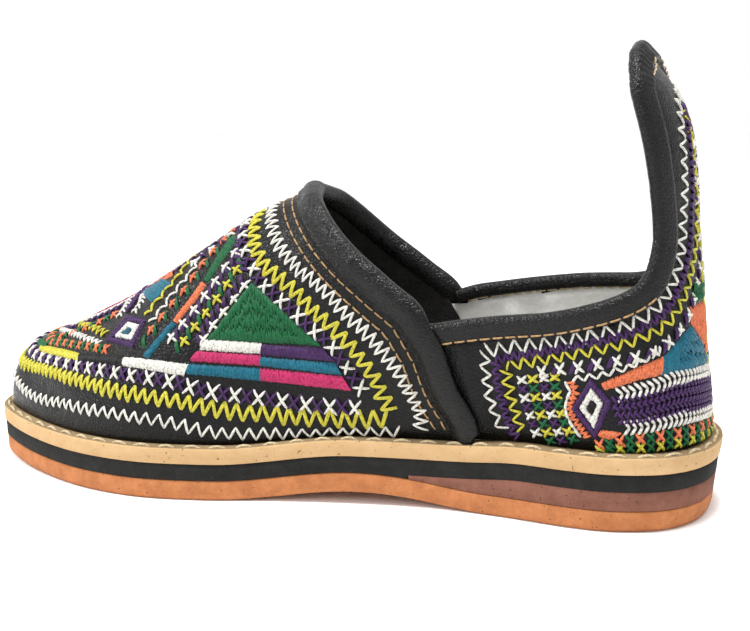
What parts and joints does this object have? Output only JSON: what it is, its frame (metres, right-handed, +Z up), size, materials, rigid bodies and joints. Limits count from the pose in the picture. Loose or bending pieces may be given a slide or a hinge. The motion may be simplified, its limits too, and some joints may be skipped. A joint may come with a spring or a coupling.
{
  "type": "babouche slipper",
  "caption": "Left slip-on slipper with a closed low vamp, open quarter and tall heel tab, bound leather edges and a layered platform sole with a heel wedge.",
  "frame": {"origin": "middle of the sole's underside, on the floor", "axes": "toe to -X, heel to +X, outer side of the left foot to -Y, +Z up"},
  "size_m": [0.253, 0.0918, 0.138],
  "materials": {
    "outsole": "crumb rubber sheet, matt",
    "heel_wedge": "crumb rubber sheet, matt",
    "midsole": "foamed rubber sheet, matt",
    "welt": "crepe rubber sheet, sanded side",
    "lining": "undyed split leather",
    "upper": "black pigmented goatskin, half gloss",
    "edging": "black folded goatskin, half gloss",
    "thread": "embroidery floss in several colours"
  },
  "bodies": {
    "root": {"outsole": "outsole", "heel_wedge": "heel_wedge", "midsole": "midsole", "welt": "welt", "insole": "lining", "upper": "upper", "vamp_collar": "edging", "topline_binding": "edging"}
  },
  "joints": []
}
